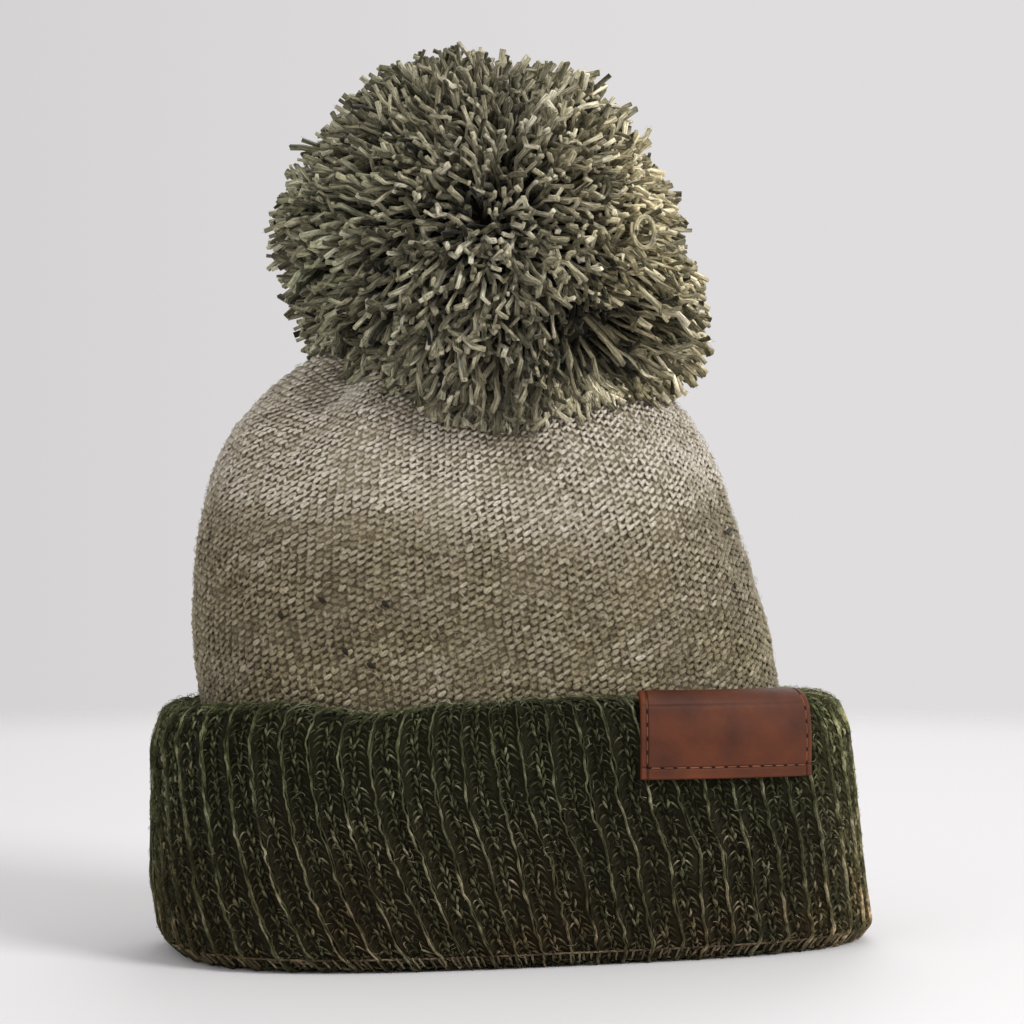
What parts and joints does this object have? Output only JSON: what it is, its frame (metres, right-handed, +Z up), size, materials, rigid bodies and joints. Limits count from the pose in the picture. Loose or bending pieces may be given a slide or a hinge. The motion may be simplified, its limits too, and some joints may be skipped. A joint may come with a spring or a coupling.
{
  "type": "pompom beanie",
  "caption": "Knitted beanie standing on its turned-up rib cuff, with a blank leather tab on the cuff and a big yarn pompom on top.",
  "frame": {"origin": "on the table the hat stands on, at the middle of its outline seen from above", "axes": "+Z up through the pompom, -Y out of the front, +X to the wearer's left, which is the viewer's right and the side with the leather tab"},
  "size_m": [0.2258, 0.1318, 0.278],
  "materials": {
    "crown_knit": "fine wool stocking stitch, greige above and olive brown below",
    "cuff_knit": "thick dark green wool rib",
    "pompom_yarn": "loose cut strands of sage grey wool yarn",
    "tab_leather": "brown leather with a soft sheen and a stitched edge"
  },
  "bodies": {
    "root": {"crown": "crown_knit", "cuff": "cuff_knit", "pompom": "pompom_yarn", "tab": "tab_leather"}
  },
  "joints": []
}
